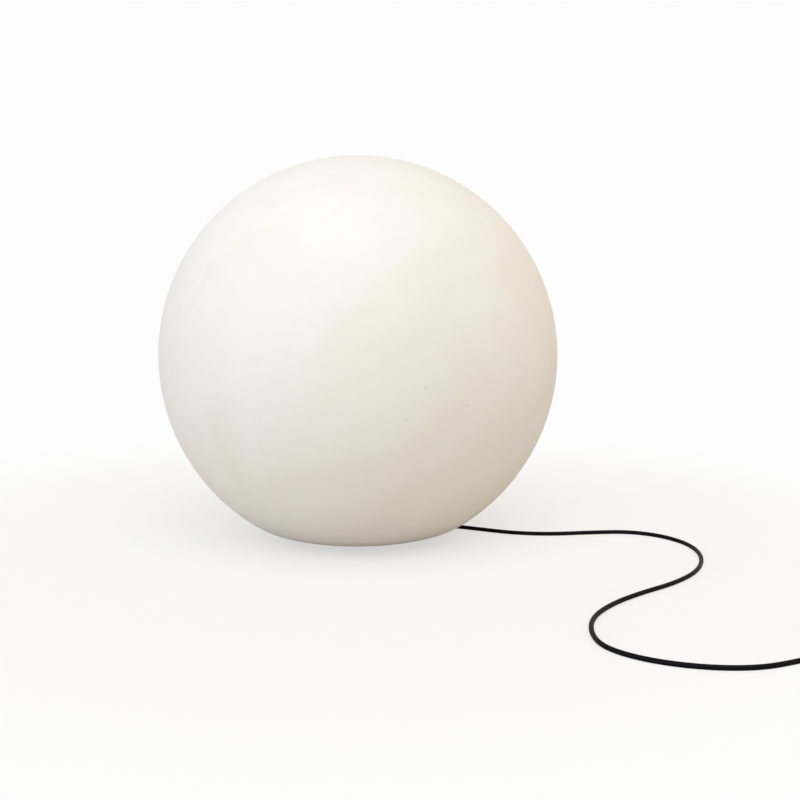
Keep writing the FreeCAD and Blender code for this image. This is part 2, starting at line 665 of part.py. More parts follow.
def side_contact():
    """A small angle, riveted to the core, that carries the sleeve."""
    low = CORE_FLOOR
    foot = block(8, 13, -2, 2, low, low + 0.5)
    riser = block(12.4, 13.0, -2, 2, low + 0.4, SLEEVE_LOW)
    rivet = cylinder(1.1, low + 0.4, low + 1.0, 9.8, 0)
    return fuse([foot, riser, rivet])


# Lamp

def bulb_tip():
    top = LAMP_TIP + TIP_T
    return spin([(0, LAMP_TIP), (3.4, LAMP_TIP + 0.3, 4.6, LAMP_TIP + 1.6), (4.6, top), (0, top)])


def bulb_insulator():
    low = LAMP_TIP + TIP_T
    return spin([(0, low), (4.9, low), (5.6, low + 0.6), (INSULATOR_R, low + 3.6), (INSULATOR_R, low + 5.0),
                 (0, low + 5.0)])


def bulb_cap():
    low = LAMP_TIP + TIP_T + 3.6
    inside = CAP_R - CAP_T
    return spin([(INSULATOR_R, low), (11.2, low), (CAP_R - 0.3, low + 0.9, CAP_R, low + 2.6),
                 (CAP_R, CAP_NECK), (CAP_R + 0.9, CAP_TOP), (CAP_R + 0.4, CAP_TOP), (inside, CAP_NECK),
                 (inside, low + 2.8), (INSULATOR_R, low + 1.2)])


def bulb_housing():
    """The lamp's plastic body: a flared trumpet with a hollow for the driver and a seat for the board."""
    neck = CAP_R - 0.6
    seam = LAMP_R - 0.4
    seat = LAMP_R - 1.8
    ledge = LAMP_SEAM - BOARD_DEEP
    return spin([(neck, 98), (neck, CAP_NECK), (CAP_R + 0.3, CAP_TOP), (14.6, CAP_TOP),
                 (16.2, 112, 19.8, 119), (26.0, 130, 29.2, 141), (seam, LAMP_SEAM), (seat, LAMP_SEAM),
                 (seat, ledge), (26.4, ledge), (26.4, 139.5), (24.0, 131, 18.2, 120),
                 (14.0, 112, 10.8, 100), (10.8, 98)])


def bulb_driver():
    """The driver's upright board with a coil, a capacitor and a chip on its two sides."""
    half = 0.8
    board = block(-10, 10, -half, half, 92, 128)
    inductor = Part.makeCylinder(4.2, 8, V(0, half - 0.3, 118), V(0, 1, 0))
    capacitor = cylinder(3.4, 96, 108, 0, -half - 3.2)
    chip = block(-3, 3, -half - 2.2, -half, 114, 120)
    return fuse([board, inductor, capacitor, chip])


def bulb_board():
    low = LAMP_SEAM - BOARD_DEEP
    disc = cylinder(BOARD_R, low, low + BOARD_T)
    wires = [cylinder(1.2, low - 1, low + BOARD_T + 1, x, 0) for x in (-4, 4)]
    return disc.cut(Part.makeCompound(wires))


def bulb_leds():
    low = LAMP_SEAM - BOARD_DEEP + BOARD_T
    chip = block(LED_CIRCLE - 1.4, LED_CIRCLE + 1.4, -1.75, 1.75, low, low + 0.7)
    return Part.makeCompound([turned(chip, 360 / LEDS * k) for k in range(LEDS)])


def bulb_diffuser():
    """A thin opal dome, a half sphere on a short taper, whose skirt snaps into the housing."""
    centre = LAMP_TOP - LAMP_R
    inner = LAMP_R - LAMP_WALL
    low = LAMP_SEAM
    skirt = LAMP_R - 1.9
    tilt = math.cos(math.radians(45))
    return spin([(skirt, low - 1.2), (skirt, low), (LAMP_R - 0.4, low), (LAMP_R, low + 8), (LAMP_R, centre),
                 (LAMP_R * tilt, centre + LAMP_R * tilt, 0, LAMP_TOP), (0, LAMP_TOP - LAMP_WALL),
                 (inner * tilt, centre + inner * tilt, inner, centre), (inner, low + 8),
                 (skirt + 0.3, low + 0.6), (skirt - 0.5, low - 0.6), (skirt - 0.5, low - 1.2)])


# Cord

def cord_held():
    return rod(CORD_R, CORD_INNER_END, CORD_START)


def coil_face(grow):
    """The coil's section about its own axis, a block with rounded corners that a strap stands out from."""
    low = COIL_Z - CORD_R - grow
    high = COIL_TOP + grow
    r = 2.5 + grow
    k = r * (1 - math.sqrt(0.5))
    a = TURN_IN - CORD_R - grow
    b = TURN_OUT + CORD_R + grow
    p = [V(a + r, 0, low), V(b - r, 0, low), V(b, 0, low + r), V(b, 0, high - r), V(b - r, 0, high),
         V(a + r, 0, high), V(a, 0, high - r), V(a, 0, low + r)]
    mids = [V(b - k, 0, low + k), V(b - k, 0, high - k), V(a + k, 0, high - k), V(a + k, 0, low + k)]
    edges = []
    for i in range(4):
        edges.append(Part.LineSegment(p[2 * i], p[2 * i + 1]).toShape())
        edges.append(Part.Arc(p[2 * i + 1], mids[i], p[(2 * i + 2) % 8]).toShape())
    return Part.Face(Part.Wire(edges))


def cord_coil():
    solid = coil_face(0).revolve(ORIGIN, UP, 360)
    solid.translate(V(COIL_X, COIL_Y, 0))
    return solid


def cord_ties():
    """Two straps round the coil, each with its buckle on top."""
    ties = []
    middle = (TURN_IN + TURN_OUT) / 2 - 0.5
    for angle in TIE_ANGLES:
        strap = coil_face(TIE_T).cut(coil_face(0)).revolve(ORIGIN, UP, TIE_SPREAD)
        strap.rotate(ORIGIN, UP, angle - TIE_SPREAD / 2)
        buckle = block(middle - BUCKLE_HALF, middle + BUCKLE_HALF, -3.6, 3.6, COIL_TOP + 0.9, COIL_TOP + 3.9)
        buckle.rotate(ORIGIN, UP, angle)
        tie = strap.fuse(buckle).removeSplitter()
        tie.translate(V(COIL_X, COIL_Y, 0))
        ties.append(tie)
    return Part.makeCompound(ties)


def coil_point(angle, height):
    x, y = on_circle(TURN_OUT, angle)
    return (COIL_X + x, COIL_Y + y, height)


def cord_tube():
    end = coil_point(ENTRY_ANGLE, COIL_Z)
    return tube(CORD_ROUTE + [end], CORD_R, "cord_tube")


def cord_tail():
    start = coil_point(EXIT_ANGLE, COIL_Z + (LAYERS - 1) * LAYER_STEP)
    return tube([start] + TAIL_ROUTE, CORD_R, "cord_tail")


def laid(shape):
    """Lay a piece of the plug beside the coil. It is modelled along +X from the plug's cord end."""
    shape.rotate(ORIGIN, UP, PLUG_HEADING)
    shape.translate(V(PLUG_X, PLUG_Y, PLUG_R))
    return shape


def plug_body():
    """A moulded rubber plug with a ribbed bend sleeve, a waisted grip and two side notches."""
    mid = PLUG_FACE - 26
    points = [V(0, 0, 0), V(0, 4.4, 0), V(30, 7.0, 0), V(32, 9.0, 0)]
    edges = [Part.makePolygon(points).Edges[k] for k in range(3)]
    edges.append(Part.Arc(V(32, 9, 0), V(mid - 1, 12.2, 0), V(mid + 8, 17.0, 0)).toShape())
    edges.append(Part.Arc(V(mid + 8, 17, 0), V(mid + 10.5, 18.1, 0), V(mid + 14, PLUG_R, 0)).toShape())
    edges.append(Part.LineSegment(V(mid + 14, PLUG_R, 0), V(PLUG_FACE - 1, PLUG_R, 0)).toShape())
    edges.append(Part.LineSegment(V(PLUG_FACE - 1, PLUG_R, 0), V(PLUG_FACE, PLUG_R - 1, 0)).toShape())
    edges.append(Part.LineSegment(V(PLUG_FACE, PLUG_R - 1, 0), V(PLUG_FACE, 0, 0)).toShape())
    edges.append(Part.LineSegment(V(PLUG_FACE, 0, 0), V(0, 0, 0)).toShape())
    body = Part.Face(Part.Wire(edges)).revolve(ORIGIN, ALONG, 360)
    cuts = [block(PLUG_FACE - 15, PLUG_FACE + 1, -2.7, 2.7, side * 17 - 2, side * 17 + 2) for side in (-1, 1)]
    for k in range(5):
        x = 5 + 4.6 * k
        cuts.append(Part.makeCylinder(12, 1.6, V(x, 0, 0), ALONG).cut(
            Part.makeCylinder(3.8 + 0.08 * x, 1.6, V(x, 0, 0), ALONG)))
    cuts.append(plug_blades())
    return laid(body.cut(Part.makeCompound(cuts)).removeSplitter())


def plug_blades():
    pins = []
    for side in (-1, 1):
        pin = Part.makeCylinder(PIN_R, PIN_LENGTH + 8, V(PLUG_FACE - 8, side * PIN_SPACING / 2, 0), ALONG)
        end = [e for e in pin.Edges if e.BoundBox.XMin > PLUG_FACE + PIN_LENGTH - 0.1]
        pins.append(pin.makeFillet(1.6, end))
    return Part.makeCompound(pins)


def plug_pins():
    return laid(plug_blades())


def cord_length():
    step = LAYER_TURNS * 2 * math.pi * (TURN_IN + TURN_OUT) / 2
    turns = WHOLE_TURNS + (EXIT_ANGLE - ENTRY_ANGLE) / 360
    lift = (turns - LAYERS * LAYER_TURNS) / (LAYERS - 1)
    ends = 2 * math.pi * lift * (2 * TURN_IN + TURN_OUT)
    return LAYERS * step + ends


NODES = {
    "globe_shell": globe_shell,
    "globe_inserts": globe_inserts,
    "globe_seal": globe_seal,
    "base_plate": base_plate,
    "base_feet": base_feet,
    "shell_screws": shell_screws,
    "cover_seal": cover_seal,
    "wiring_cover": wiring_cover,
    "cover_screws": cover_screws,
    "cover_grommet": cover_grommet,
    "terminal_block": terminal_block,
    "terminal_barrels": terminal_barrels,
    "terminal_screws": terminal_screws,
    "mains_cores": mains_cores,
    "lamp_leads": lamp_leads,
    "gland_body": gland_body,
    "gland_washer": gland_washer,
    "gland_insert": gland_insert,
    "gland_nut": gland_nut,
    "holder_bridge": holder_bridge,
    "bridge_screws": bridge_screws,
    "holder_nipple": holder_nipple,
    "nipple_nut": nipple_nut,
    "holder_dome": holder_dome,
    "holder_skirt": holder_skirt,
    "holder_core": holder_core,
    "holder_sleeve": holder_sleeve,
    "centre_contact": centre_contact,
    "side_contact": side_contact,
    "bulb_tip": bulb_tip,
    "bulb_insulator": bulb_insulator,
    "bulb_cap": bulb_cap,
    "bulb_housing": bulb_housing,
    "bulb_driver": bulb_driver,
    "bulb_board": bulb_board,
    "bulb_leds": bulb_leds,
    "bulb_diffuser": bulb_diffuser,
    "cord_held": cord_held,
    "cord_tube": cord_tube,
    "cord_coil": cord_coil,
    "cord_ties": cord_ties,
    "cord_tail": cord_tail,
    "plug_body": plug_body,
    "plug_pins": plug_pins,
}

os.makedirs("parts", exist_ok=True)
for name, build in NODES.items():
    shape = build()
    solids = shape.Solids
    print(name, len(solids), "solids", "valid" if shape.isValid() else "INVALID",
          round(shape.Volume / 1000, 2), "cm3")
    if len(solids) > 1:
        shape = Part.makeCompound(solids)
    shape.exportStep("parts/" + name + ".step")
print("coil holds", round(cord_length()), "mm of cord")
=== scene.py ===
import json
import math
import random

import bmesh
import bpy
from mathutils import Euler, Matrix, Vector, noise


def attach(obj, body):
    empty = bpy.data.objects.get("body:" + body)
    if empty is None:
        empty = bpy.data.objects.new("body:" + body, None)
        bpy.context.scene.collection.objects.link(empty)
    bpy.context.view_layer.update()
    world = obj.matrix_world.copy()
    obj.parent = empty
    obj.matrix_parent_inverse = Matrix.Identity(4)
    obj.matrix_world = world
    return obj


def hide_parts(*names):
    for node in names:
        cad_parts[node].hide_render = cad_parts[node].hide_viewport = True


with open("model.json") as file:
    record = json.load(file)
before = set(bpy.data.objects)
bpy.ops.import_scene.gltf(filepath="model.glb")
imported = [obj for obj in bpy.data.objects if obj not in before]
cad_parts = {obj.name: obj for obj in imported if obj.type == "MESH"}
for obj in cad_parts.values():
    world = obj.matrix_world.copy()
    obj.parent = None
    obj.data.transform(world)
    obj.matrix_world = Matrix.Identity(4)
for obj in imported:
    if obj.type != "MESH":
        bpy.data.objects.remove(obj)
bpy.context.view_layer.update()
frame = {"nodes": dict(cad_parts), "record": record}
nodes = frame["nodes"]
mm = 0.001
nearZero = 1e-6  # a smaller radius is a point on the axis
print("frame loaded:", len(nodes), "nodes")


def toLinear(hexText):
    # sRGB hex to the linear colour that shaders take
    channels = [int(hexText[k:k + 2], 16) / 255 for k in (1, 3, 5)]
    return [c / 12.92 if c <= 0.04045 else ((c + 0.055) / 1.055) ** 2.4 for c in channels] + [1.0]


def addNode(tree, kind, settings=None, inputs=None):
    # an input is linked if its value is a socket, and set otherwise
    node = tree.nodes.new(kind)
    for key, value in (settings or {}).items():
        setattr(node, key, value)
    for key, value in (inputs or {}).items():
        if isinstance(value, bpy.types.NodeSocket):
            tree.links.new(value, node.inputs[key])
        else:
            node.inputs[key].default_value = value
    return node


def perMetre(sizeMm):
    # noise scale, in cells a metre, for a feature of this size
    return 1000.0 / sizeMm


def newMaterial(name, colourHex, roughness, metallic=0.0, **sockets):
    material = bpy.data.materials.new(name)
    material.use_nodes = True
    tree = material.node_tree
    shader = tree.nodes["Principled BSDF"]
    shader.inputs["Base Color"].default_value = toLinear(colourHex)
    shader.inputs["Roughness"].default_value = roughness
    shader.inputs["Metallic"].default_value = metallic
    for key, value in sockets.items():
        shader.inputs[key].default_value = value
    return material, tree, shader


def finishPiece(obj, body, slotName, smoothAngle=35.0):
    obj.data.materials.append(finishes[slotName])
    if obj.type == "MESH":
        obj.data.shade_smooth()
        obj.data.set_sharp_from_angle(angle=math.radians(smoothAngle))
    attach(obj, body)


def linkMesh(name, mesh):
    obj = bpy.data.objects.new(name, mesh)
    bpy.context.scene.collection.objects.link(obj)
    return obj


def tracePath(steps, arcParts):
    # corners are (r, z); an arc is (r, z) of a point that it passes and (r, z) of its end, all in mm
    points = []
    for step in steps:
        if len(step) == 2:
            points.append(Vector(step))
            continue
        start, through, end = points[-1], Vector(step[:2]), Vector(step[2:])
        a, b = through - start, end - start
        cross = 2 * (a.x * b.y - a.y * b.x)
        centre = start + Vector((b.y * a.length_squared - a.y * b.length_squared,
                                 a.x * b.length_squared - b.x * a.length_squared)) / cross
        first = math.atan2(start.y - centre.y, start.x - centre.x)
        sweep = math.atan2(end.y - centre.y, end.x - centre.x) - first
        turn = 1 if cross > 0 else -1
        sweep = sweep % (2 * math.pi) if turn > 0 else -((-sweep) % (2 * math.pi))
        radius = (start - centre).length
        for k in range(1, arcParts + 1):
            angle = first + sweep * k / arcParts
            points.append(centre + radius * Vector((math.cos(angle), math.sin(angle))))
    return points


def ringOf(bm, height, radius, sides, x=0.0, y=0.0):
    # vertices round (x, y), all in mm; a radius can be a function of the angle, and 0 gives one vertex
    if not callable(radius) and radius < nearZero:
        return [bm.verts.new((x * mm, y * mm, height * mm))]
    ring = []
    for k in range(sides):
        angle = 2 * math.pi * k / sides
        r = radius(angle) if callable(radius) else radius
        across, along = x + r * math.cos(angle), y + r * math.sin(angle)
        ring.append(bm.verts.new((across * mm, along * mm, height * mm)))
    return ring


def joinRings(bm, lower, upper):
    # faces between two rings, either of which can be a single vertex
    count = max(len(lower), len(upper))
    if count == 1:
        return
    for k in range(count):
        corners = [lower[k % len(lower)], lower[(k + 1) % len(lower)],
                   upper[(k + 1) % len(upper)], upper[k % len(upper)]]
        corners = [v for j, v in enumerate(corners) if v not in corners[:j]]
        if len(corners) > 2:
            bm.faces.new(corners)


def turnedMesh(name, rows, sides, places=((0.0, 0.0),)):
    # rows of (height, radius) that go once round the section and are turned about each place
    bm = bmesh.new()
    for x, y in places:
        rings = [ringOf(bm, height, radius, sides, x, y) for height, radius in rows]
        for i, ring in enumerate(rings):
            joinRings(bm, rings[i - 1], ring)
    bmesh.ops.recalc_face_normals(bm, faces=bm.faces)
    mesh = bpy.data.meshes.new(name)
    bm.to_mesh(mesh)
    bm.free()
    return mesh


# the photograph's viewing angle
cameraView = {
    "place": (-463.9, -1629.8, 417.2),  # mm
    "downTilt": 7.08,  # degrees
    "heading": -18.0,  # degrees about +Z from looking along +Y
    "lens": 50.0,  # mm
    "sensor": 36.0,  # mm
    "reach": 60.0,  # metres
}


def makeCamera(view):
    data = bpy.data.cameras.new("photoCamera")
    data.lens = view["lens"]
    data.sensor_width = view["sensor"]
    data.clip_end = view["reach"]
    camera = bpy.data.objects.new("photoCamera", data)
    camera.location = Vector(view["place"]) * mm
    tilt = math.radians(90 - view["downTilt"])
    camera.rotation_euler = Euler((tilt, 0, math.radians(view["heading"])))
    bpy.context.scene.collection.objects.link(camera)
    bpy.context.scene.camera = camera


makeCamera(cameraView)
print("camera placed")

# a two-core lead laid loosely on the ground, and the rest of it wound up; all in mm but the length
cord = {
    "diameter": 6.0,
    "length": 5.049,  # metres
    "exit": (31.0, 0.0, 10.0),
    "route": [
        (20, 0, 10), (43, 0, 10), (68, 0, 3), (106, -4, 3), (146, -20, 3), (180, -54, 3),
        (221, -93, 3), (273, -117, 3), (336, -126, 3), (393, -140, 3), (428, -180, 3),
        (439, -238, 3), (419, -302, 3), (372, -364, 3), (310, -405, 3), (244, -430, 3),
        (188, -459, 3), (142, -497, 3), (114, -545, 3), (104, -594, 3), (128, -642, 3),
        (174, -680, 3), (228, -699, 3), (281, -694, 3), (334, -685, 3.4)],
    "tail": [(461, -622, 20.3), (482, -572, 9), (518, -540, 3.2), (557, -548, 3.2), (578, -583, 6),
             (583, -624, 14), (582, -660, 18.5)],
    "coilCentre": (402.0, -656.0),
    "coilLow": 4.3,
    "layerStep": 6.0,
    "layers": 4,
    "turnIn": 25.0,
    "turnOut": 46.0,
    "layerTurns": 3.5,
    "entryAngle": -100.0,
    "exitAngle": -18.0,
    "wholeTurns": 15,
    "pointsPerTurn": 14,
    "looseness": 0.25,  # how far a turn strays from its neat place
    "seed": 7,
}


def turnsOf(c):
    return c["wholeTurns"] + (c["exitAngle"] - c["entryAngle"]) / 360


def coilTurn(part, c):
    # radius and height of the winding, this many turns after it starts
    lift = (turnsOf(c) - c["layers"] * c["layerTurns"]) / (c["layers"] - 1)
    layer = min(int(part / (c["layerTurns"] + lift)), c["layers"] - 1)
    into = part - layer * (c["layerTurns"] + lift)
    inward = layer % 2 == 0
    share = min(into / c["layerTurns"], 1.0)
    start, end = (c["turnOut"], c["turnIn"]) if inward else (c["turnIn"], c["turnOut"])
    rise = max(into - c["layerTurns"], 0.0) / lift
    return start + (end - start) * share, c["coilLow"] + c["layerStep"] * (layer + rise)


def coilPoints(c):
    chance = random.Random(c["seed"])
    step = 2 * math.pi / c["pointsPerTurn"]
    inset = (6 + 2 * math.cos(step)) / 8  # the spline's radius for points on a radius of 1
    allTurns = turnsOf(c)
    count = round(allTurns * c["pointsPerTurn"])
    points = []
    for k in range(count + 1):
        part = allTurns * k / count
        radius, height = coilTurn(part, c)
        radius = radius / inset + chance.uniform(-1, 1) * c["looseness"]
        angle = math.radians(c["entryAngle"]) + 2 * math.pi * part
        points.append((c["coilCentre"][0] + radius * math.cos(angle),
                       c["coilCentre"][1] + radius * math.sin(angle), height))
    return points


def makeCord(c):
    points = c["route"] + coilPoints(c) + c["tail"]
    curve = bpy.data.curves.new("cordSheath", "CURVE")
    curve.dimensions = "3D"
    spline = curve.splines.new("NURBS")
    spline.points.add(len(points) - 1)
    for slot, p in zip(spline.points, points):
        slot.co = (p[0] * mm, p[1] * mm, p[2] * mm, 1.0)
    spline.order_u = 3
    spline.use_endpoint_u = True
    spline.resolution_u = 8
    curve.bevel_depth = c["diameter"] * mm / 2
    curve.bevel_resolution = 5
    curve.use_fill_caps = True
    return linkMesh("cordSheath", curve)


cordSheath = makeCord(cord)
print("cord laid:", len(cord["route"]), "route points")

globe = {  # mm and degrees
    "radius": 300.0,
    "wall": 4.0,
    "flatZ": 8.5,
    "centreZ": 274.3,
    "blend": 108.0,
    "mouth": 78.0,
    "mouthEdge": 0.6,
    "lipTop": 21.0,
    "lipRound": 3.0,
    "bossRadius": 8.0,
    "bossFoot": 1.0,  # above the underside, in the wall
    "bossTop": 26.0,
    "bossRound": 4.0,
    "bossCircle": 89.0,
    "bossAngles": (45, 135, 225, 315),
    "sides": 256,
    "bossSides": 32,
    "wave": 0.12,  # how far the cooled skin strays from the mould
    "waveMm": 70.0,
    "waveAbove": 14.0,  # over the flat
    "waveOutside": 100.0,  # radius about the mouth and the crown, which stay true
    # hairline scuffs: degrees about +Z, height and length
    "scuffs": [(-89.5, 257.5, 7), (-77.7, 231, 8), (-94.2, 217, 5),
               (-160, 190, 6), (24, 330, 7), (118, 240, 9)],
}


def opalPolyethylene():
    # LLDPE, rotationally moulded: milky and waxy, it lets light in and has a soft sheen with no sharp
    # reflections; the powder melted in faint slanting swirls, and handling left a few scuffs
    look = {
        "milk": "#F6F6F2", "cream": "#F2EFE7", "scuff": "#B3A896",
        "swirlMm": 130.0, "swirlSlope": 38.0, "swirlLong": 2.2, "swirlLow": 0.27, "swirlHigh": 0.73,
        "roughness": 0.52, "glossier": 0.47, "duller": 0.57,
        "peelMm": 6.0, "peelDeepMm": 0.4, "grainMm": 1.4, "grainDeepMm": 0.12,
        "scuffThinMm": 1.1, "raggedMm": 2.5, "scuffShare": 0.5,
    }
    material, tree, shader = newMaterial(
        "opalPolyethylene", look["milk"], look["roughness"], IOR=1.51, **{
            "Subsurface Weight": 0.22, "Subsurface Radius": (0.012, 0.010, 0.008),
            "Subsurface Scale": 1.0, "Specular IOR Level": 0.25})
    place = addNode(tree, "ShaderNodeTexCoord").outputs["Object"]
    flow = addNode(tree, "ShaderNodeMapping", {"vector_type": "TEXTURE"}, {
        "Vector": place, "Rotation": (0.0, math.radians(-look["swirlSlope"]), 0.0),
        "Scale": (look["swirlLong"], 1.0, 1.0)})
    swirl = addNode(tree, "ShaderNodeTexNoise", None, {
        "Vector": flow.outputs[0], "Scale": perMetre(look["swirlMm"]), "Detail": 5.0, "Distortion": 1.2})
    cloud = addNode(tree, "ShaderNodeMapRange", None, {
        "Value": swirl.outputs["Fac"], "From Min": look["swirlLow"], "From Max": look["swirlHigh"]})
    tone = addNode(tree, "ShaderNodeMix", {"data_type": "RGBA"}, {
        0: cloud.outputs[0], 6: toLinear(look["milk"]), 7: toLinear(look["cream"])})
    ragged = addNode(tree, "ShaderNodeTexNoise", None, {
        "Vector": place, "Scale": perMetre(look["raggedMm"]), "Detail": 2.0})
    scuffed = None
    for heading, height, length in globe["scuffs"]:
        reach = math.sqrt(globe["radius"] ** 2 - (height - globe["centreZ"]) ** 2)
        turn = math.radians(heading)
        spot = Vector((reach * math.cos(turn), reach * math.sin(turn), height)) * mm
        away = addNode(tree, "ShaderNodeVectorMath", {"operation": "SUBTRACT"}, {0: place, 1: spot})
        sizes = (perMetre(length / 2), perMetre(length / 2), perMetre(look["scuffThinMm"] / 2))
        shaped = addNode(tree, "ShaderNodeVectorMath", {"operation": "MULTIPLY"}, {
            0: away.outputs[0], 1: sizes})
        distance = addNode(tree, "ShaderNodeVectorMath", {"operation": "LENGTH"}, {0: shaped.outputs[0]})
        edge = addNode(tree, "ShaderNodeMath", {"operation": "ADD"}, {
            0: distance.outputs["Value"], 1: ragged.outputs["Fac"]})
        shade = addNode(tree, "ShaderNodeMapRange", None, {
            "Value": edge.outputs[0], "From Min": 0.7, "From Max": 1.7,
            "To Min": look["scuffShare"], "To Max": 0.0})
        if scuffed:
            shade = addNode(tree, "ShaderNodeMath", {"operation": "MAXIMUM"}, {
                0: scuffed.outputs[0], 1: shade.outputs[0]})
        scuffed = shade
    colour = addNode(tree, "ShaderNodeMix", {"data_type": "RGBA"}, {
        0: scuffed.outputs[0], 6: tone.outputs[2], 7: toLinear(look["scuff"])})
    tree.links.new(colour.outputs[2], shader.inputs["Base Color"])
    patches = addNode(tree, "ShaderNodeMapRange", None, {
        "Value": swirl.outputs["Fac"], "From Min": 0.3, "From Max": 0.7,
        "To Min": look["glossier"], "To Max": look["duller"]})
    tree.links.new(patches.outputs[0], shader.inputs["Roughness"])
    peel = addNode(tree, "ShaderNodeTexNoise", None, {
        "Vector": place, "Scale": perMetre(look["peelMm"]), "Detail": 2.0})
    grain = addNode(tree, "ShaderNodeTexNoise", None, {
        "Vector": place, "Scale": perMetre(look["grainMm"]), "Detail": 3.0})
    broad = addNode(tree, "ShaderNodeBump", None, {
        "Height": peel.outputs["Fac"], "Strength": 0.25, "Distance": look["peelDeepMm"] * mm})
    fine = addNode(tree, "ShaderNodeBump", None, {
        "Height": grain.outputs["Fac"], "Strength": 0.2, "Distance": look["grainDeepMm"] * mm,
        "Normal": broad.outputs[0]})
    tree.links.new(fine.outputs[0], shader.inputs["Normal"])
    return material


def mouldedPlastic(own):
    # an injection-moulded plastic: spark-eroded grain, slightly uneven colour and gloss
    look = {"ior": 1.5, "sockets": {}, "cloudMm": 18.0, "uneven": 0.06, "grainDeepMm": 0.2, **own}
    material, tree, shader = newMaterial(
        look["name"], look["colour"], look["roughness"], IOR=look["ior"], **look["sockets"])
    place = addNode(tree, "ShaderNodeTexCoord").outputs["Object"]
    cloud = addNode(tree, "ShaderNodeTexNoise", None, {
        "Vector": place, "Scale": perMetre(look["cloudMm"]), "Detail": 3.0})
    tone = addNode(tree, "ShaderNodeMix", {"data_type": "RGBA"}, {
        0: cloud.outputs["Fac"], 6: toLinear(look["colour"]), 7: toLinear(look["second"])})
    tree.links.new(tone.outputs[2], shader.inputs["Base Color"])
    gloss = addNode(tree, "ShaderNodeMapRange", None, {
        "Value": cloud.outputs["Fac"], "From Min": 0.3, "From Max": 0.7,
        "To Min": look["roughness"] - look["uneven"], "To Max": look["roughness"] + look["uneven"]})
    tree.links.new(gloss.outputs[0], shader.inputs["Roughness"])
    grain = addNode(tree, "ShaderNodeTexVoronoi", {"feature": "SMOOTH_F1"}, {
        "Vector": place, "Scale": perMetre(look["grainMm"]), "Smoothness": 0.6})
    bump = addNode(tree, "ShaderNodeBump", None, {
        "Height": grain.outputs["Distance"], "Strength": look["grain"],
        "Distance": look["grainDeepMm"] * mm})
    tree.links.new(bump.outputs[0], shader.inputs["Normal"])
    return material


def rubber(own):
    # extruded or moulded rubber: near black with a grey bloom, a low sheen and fine dusty pores
    look = {"specular": 0.5, "glossier": 0.07, "duller": 0.1, "poreDeepMm": 0.12, **own}
    material, tree, shader = newMaterial(
        look["name"], look["colour"], look["roughness"], IOR=1.52,
        **{"Specular IOR Level": look["specular"]})
    place = addNode(tree, "ShaderNodeTexCoord").outputs["Object"]
    bloom = addNode(tree, "ShaderNodeTexNoise", None, {
        "Vector": place, "Scale": perMetre(look["bloomMm"]), "Detail": 5.0, "Roughness": 0.6})
    share = addNode(tree, "ShaderNodeMapRange", None, {
        "Value": bloom.outputs["Fac"], "From Min": 0.42, "From Max": 0.78, "To Min": 0.0, "To Max": 1.0})
    tone = addNode(tree, "ShaderNodeMix", {"data_type": "RGBA"}, {
        0: share.outputs[0], 6: toLinear(look["colour"]), 7: toLinear(look["bloom"])})
    tree.links.new(tone.outputs[2], shader.inputs["Base Color"])
    gloss = addNode(tree, "ShaderNodeMapRange", None, {
        "Value": bloom.outputs["Fac"], "From Min": 0.35, "From Max": 0.7,
        "To Min": look["roughness"] - look["glossier"], "To Max": look["roughness"] + look["duller"]})
    tree.links.new(gloss.outputs[0], shader.inputs["Roughness"])
    pores = addNode(tree, "ShaderNodeTexNoise", None, {
        "Vector": place, "Scale": perMetre(look["poreMm"]), "Detail": 2.0})
    bump = addNode(tree, "ShaderNodeBump", None, {
        "Height": pores.outputs["Fac"], "Strength": 0.3, "Distance": look["poreDeepMm"] * mm})
    tree.links.new(bump.outputs[0], shader.inputs["Normal"])
    return material


def workedMetal(own):
    # a turned, rolled or drawn metal: rings about the globe's axis, uneven polish and dull spots
    look = {"spotMm": 5.0, "lineMm": 3.0, "squeeze": 12, "lineDeepMm": 0.1,
            "glossier": 0.06, "duller": 0.14, **own}
    material, tree, shader = newMaterial(
        look["name"], look["colour"], look["roughness"], metallic=1.0)
    place = addNode(tree, "ShaderNodeTexCoord").outputs["Object"]
    spots = addNode(tree, "ShaderNodeTexNoise", None, {
        "Vector": place, "Scale": perMetre(look["spotMm"]), "Detail": 4.0})
    tone = addNode(tree, "ShaderNodeMix", {"data_type": "RGBA"}, {
        0: spots.outputs["Fac"], 6: toLinear(look["colour"]), 7: toLinear(look["dull"])})
    tree.links.new(tone.outputs[2], shader.inputs["Base Color"])
    gloss = addNode(tree, "ShaderNodeMapRange", None, {
        "Value": spots.outputs["Fac"], "From Min": 0.3, "From Max": 0.75,
        "To Min": look["roughness"] - look["glossier"], "To Max": look["roughness"] + look["duller"]})
    tree.links.new(gloss.outputs[0], shader.inputs["Roughness"])
    stretch = addNode(tree, "ShaderNodeMapping", None, {
        "Vector": place, "Scale": (1, 1, look["squeeze"])})
    lines = addNode(tree, "ShaderNodeTexNoise", None, {
        "Vector": stretch.outputs[0], "Scale": perMetre(look["lineMm"]), "Detail": 3.0})
    bump = addNode(tree, "ShaderNodeBump", None, {
        "Height": lines.outputs["Fac"], "Strength": 0.15, "Distance": look["lineDeepMm"] * mm})
    tree.links.new(bump.outputs[0], shader.inputs["Normal"])
    return material


